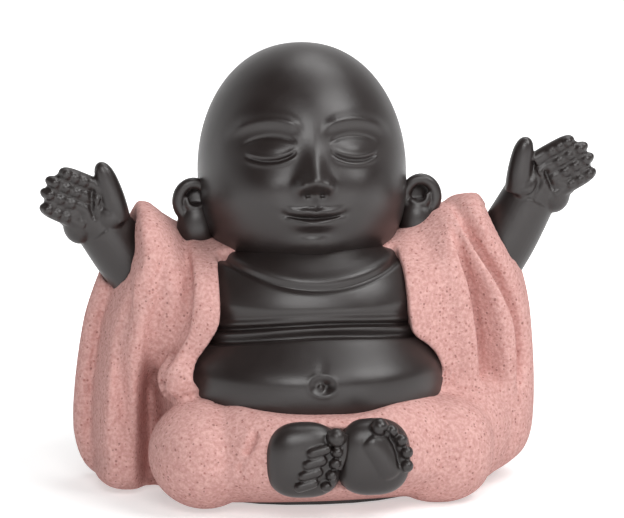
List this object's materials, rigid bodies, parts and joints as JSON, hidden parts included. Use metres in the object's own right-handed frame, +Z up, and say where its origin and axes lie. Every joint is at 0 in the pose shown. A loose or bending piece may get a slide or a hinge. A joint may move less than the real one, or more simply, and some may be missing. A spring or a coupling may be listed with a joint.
{
  "type": "seated figurine",
  "caption": "Seated monk ornament in two fired clays: a dark bald head, bare belly, raised hands and feet in a sand-coloured open robe with wide hanging sleeves.",
  "frame": {"origin": "middle of the base plate's flat underside, under the neck", "axes": "+X across the figure to the viewer's right, -Y out of the belly towards the viewer, +Z up"},
  "size_m": [0.1094, 0.0643, 0.0869],
  "materials": {
    "dark_clay": "fine unglazed dark brown stoneware, burnished to a soft satin sheen",
    "sand_clay": "coarse unglazed pink clay with dark grog specks, dry and grainy"
  },
  "bodies": {
    "root": {"base_plate": "dark_clay", "torso": "dark_clay", "head": "dark_clay", "ear_left": "dark_clay", "ear_right": "dark_clay", "foot_left": "dark_clay", "foot_right": "dark_clay", "arm_left": "dark_clay", "arm_right": "dark_clay", "mantle": "sand_clay", "lap": "sand_clay", "sleeve_left": "sand_clay", "sleeve_right": "sand_clay"}
  },
  "joints": []
}
